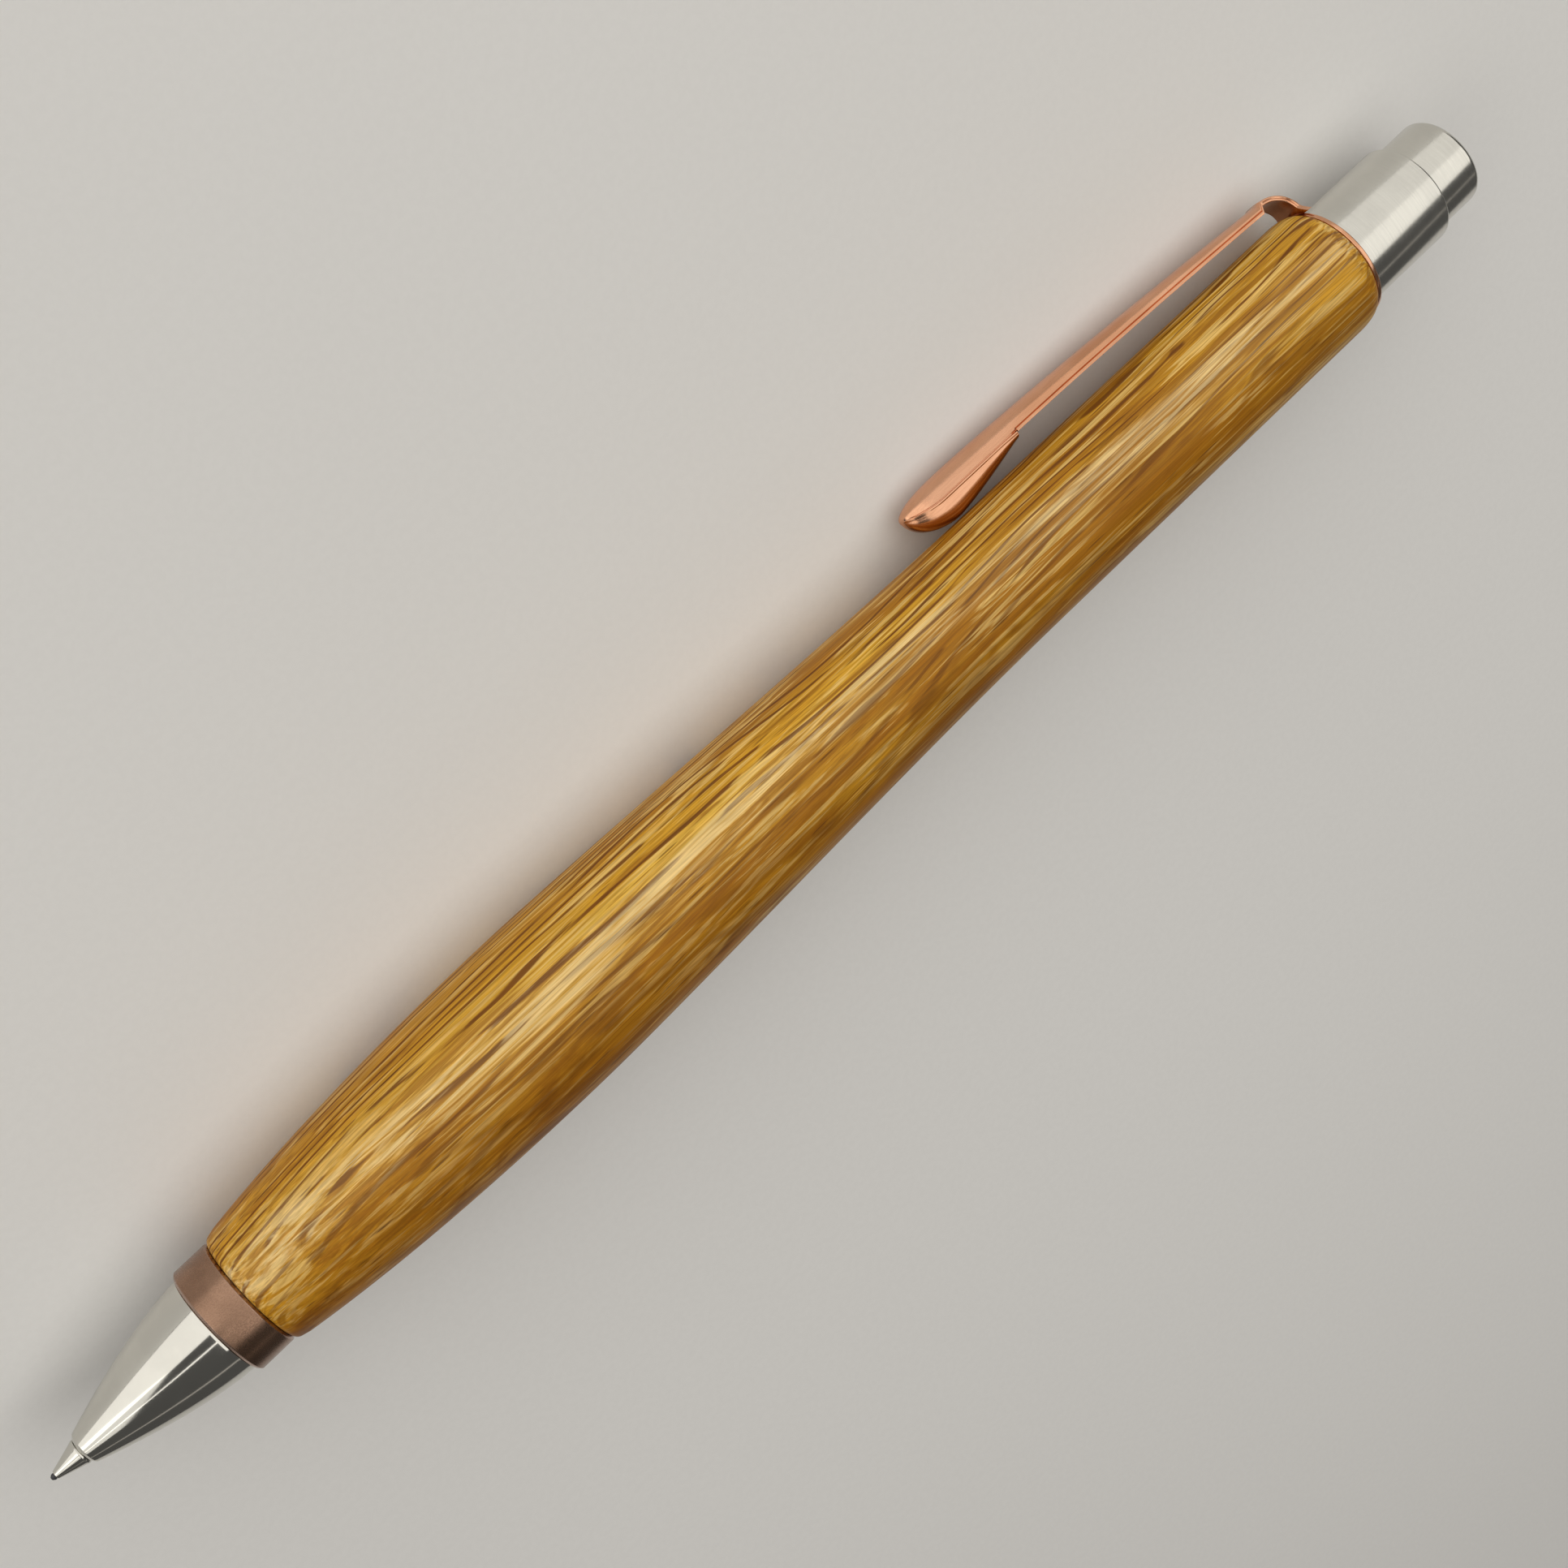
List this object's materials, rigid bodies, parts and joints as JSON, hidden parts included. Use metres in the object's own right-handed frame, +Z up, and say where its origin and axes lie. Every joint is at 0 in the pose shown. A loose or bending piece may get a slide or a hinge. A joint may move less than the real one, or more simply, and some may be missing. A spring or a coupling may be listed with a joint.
{
  "type": "mechanical pencil",
  "caption": "Push-button mechanical pencil with a bellied wood barrel, steel nose cone, satin trim ring, sprung pocket clip, collet clutch and steel tail; the button cap pulls off its eraser.",
  "frame": {"origin": "middle of the bounding box, on the surface that the pencil lies on", "axes": "+X along the level pencil axis from writing tip to push button, +Z up; the clip points to +Y and 34 degrees down"},
  "size_m": [0.1446, 0.0146, 0.0132],
  "materials": {
    "wood": "satin oiled golden-brown wood with fine dark pore dashes",
    "polished_steel": "mirror-polished nose, finely satined tail",
    "satin_bronze": "satin mauve-brown metal",
    "copper": "satin copper, rose tint",
    "brass": "turned brass",
    "spring_steel": "drawn spring wire",
    "clear_plastic": "translucent moulded tube",
    "white_plastic": "moulded",
    "black_rubber": "matt",
    "eraser_rubber": "matt white",
    "tin": "pressed thin sheet",
    "graphite": "polymer graphite lead"
  },
  "bodies": {
    "barrel": {"wood_barrel": "wood", "barrel_liner": "brass", "front_bush": "brass", "rear_bush": "brass", "clip_ring": "copper", "tail_ferrule": "polished_steel", "clutch_sleeve": "brass", "chuck_spring": "spring_steel"},
    "trim_ring": {"trim_ring": "satin_bronze"},
    "nose": {"front_cone": "polished_steel", "lead_guide": "polished_steel", "lead_retainer": "black_rubber"},
    "feed_unit": {"lead_tank": "clear_plastic", "tank_connector": "white_plastic", "collet_body": "brass", "spare_lead_1": "graphite", "spare_lead_2": "graphite", "spare_lead_3": "graphite"},
    "jaw_1": {"collet_jaw_1": "brass"},
    "jaw_2": {"collet_jaw_2": "brass"},
    "jaw_3": {"collet_jaw_3": "brass"},
    "clutch_ring": {"clutch_ring": "brass"},
    "lead": {"lead": "graphite"},
    "button": {"push_button": "polished_steel", "button_sleeve": "white_plastic"},
    "eraser_unit": {"eraser_cup": "tin", "eraser": "eraser_rubber"},
    "clip": {"clip_arm": "copper"}
  },
  "joints": [
    {"name": "nose_withdraw", "type": "slide", "parent": "barrel", "child": "trim_ring", "axis": [-1, 0, 0], "range_m": [0, 0.0075]},
    {"name": "nose_unscrew", "type": "hinge", "parent": "trim_ring", "child": "nose", "pos_m": [-0.05752, -0.00071, 0.00658], "axis": [-1, 0, 0], "range_deg": [0, 3600]},
    {"name": "button_press", "type": "slide", "parent": "barrel", "child": "feed_unit", "axis": [-1, 0, 0], "range_m": [0, 0.0026], "stiffness_N_per_m": 800, "springref_m": -0.002, "deforming": ["chuck_spring"]},
    {"name": "clutch_ring_slide", "type": "slide", "parent": "barrel", "child": "clutch_ring", "axis": [-1, 0, 0], "range_m": [0, 0.00105]},
    {"name": "lead_feed", "type": "slide", "parent": "barrel", "child": "lead", "axis": [-1, 0, 0], "range_m": [0, 0.00105]},
    {"name": "jaw_1_open", "type": "hinge", "parent": "feed_unit", "child": "jaw_1", "pos_m": [-0.0545, -0.00071, 0.00708], "axis": [0, 1, 0], "range_deg": [0, 2]},
    {"name": "jaw_2_open", "type": "hinge", "parent": "feed_unit", "child": "jaw_2", "pos_m": [-0.0545, -0.00115, 0.00633], "axis": [0, -0.5, 0.866], "range_deg": [0, 2]},
    {"name": "jaw_3_open", "type": "hinge", "parent": "feed_unit", "child": "jaw_3", "pos_m": [-0.0545, -0.00028, 0.00633], "axis": [0, -0.5, -0.866], "range_deg": [0, 2]},
    {"name": "cap_pull", "type": "slide", "parent": "feed_unit", "child": "button", "axis": [1, 0, 0], "range_m": [0, 0.012]},
    {"name": "eraser_pull", "type": "slide", "parent": "feed_unit", "child": "eraser_unit", "axis": [1, 0, 0], "range_m": [0, 0.006]},
    {"name": "clip_flex", "type": "hinge", "parent": "barrel", "child": "clip", "pos_m": [0.05892, 0.00378, 0.00355], "axis": [0, -0.5592, -0.829], "range_deg": [0, 4], "stiffness_Nm_per_rad": 1.5, "springref_deg": -1.15}
  ],
  "couplings": [
    {"joint": "nose_unscrew", "follows": "nose_withdraw", "rad_per_m": 8377.5},
    {"joint": "clutch_ring_slide", "follows": "button_press", "ratio": 0.4},
    {"joint": "lead_feed", "follows": "button_press", "ratio": 0.4},
    {"joint": "jaw_1_open", "follows": "button_press", "rad_per_m": 13.42},
    {"joint": "jaw_2_open", "follows": "button_press", "rad_per_m": 13.42},
    {"joint": "jaw_3_open", "follows": "button_press", "rad_per_m": 13.42},
    {"joint": "eraser_pull", "follows": "cap_pull", "ratio": 0.5}
  ]
}
